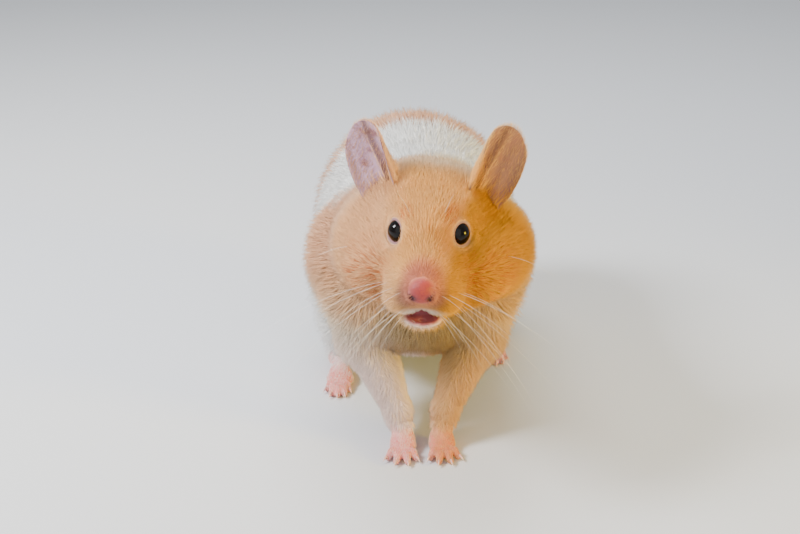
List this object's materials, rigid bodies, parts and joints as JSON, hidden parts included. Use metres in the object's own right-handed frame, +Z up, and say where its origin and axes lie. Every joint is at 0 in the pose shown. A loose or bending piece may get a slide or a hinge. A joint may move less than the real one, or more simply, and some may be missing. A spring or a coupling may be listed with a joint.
{
  "type": "syrian hamster, life-size still model",
  "caption": "Life-size Syrian hamster with a banded cream and golden coat, standing on stretched forelegs with its head raised and cheek pouches full.",
  "frame": {"origin": "on the floor, under the middle of the animal's box, which reaches from the nose to the tail's tip", "axes": "-Y is forward, where the animal faces; +X is its left side; +Z is up"},
  "size_m": [0.064, 0.149, 0.087],
  "materials": {
    "coat": "short soft fur, golden cream with a white band round the trunk and white underside",
    "bare_skin": "pink, thinly haired skin of the nose, lips, ears, feet and tail, soft satin",
    "eye": "wet gloss black",
    "claw": "pale horn, slightly translucent",
    "whisker": "fine white bristle"
  },
  "bodies": {
    "root": {"head": "coat", "lower_jaw": "coat", "nose": "bare_skin", "neck": "coat", "trunk": "coat", "tail": "bare_skin", "ear_left": "bare_skin", "ear_right": "bare_skin", "eye_left": "eye", "eye_right": "eye", "front_leg_left": "coat", "front_leg_right": "coat", "front_foot_left": "bare_skin", "front_foot_right": "bare_skin", "hind_leg_left": "coat", "hind_leg_right": "coat", "hind_foot_left": "bare_skin", "hind_foot_right": "bare_skin"}
  },
  "joints": []
}
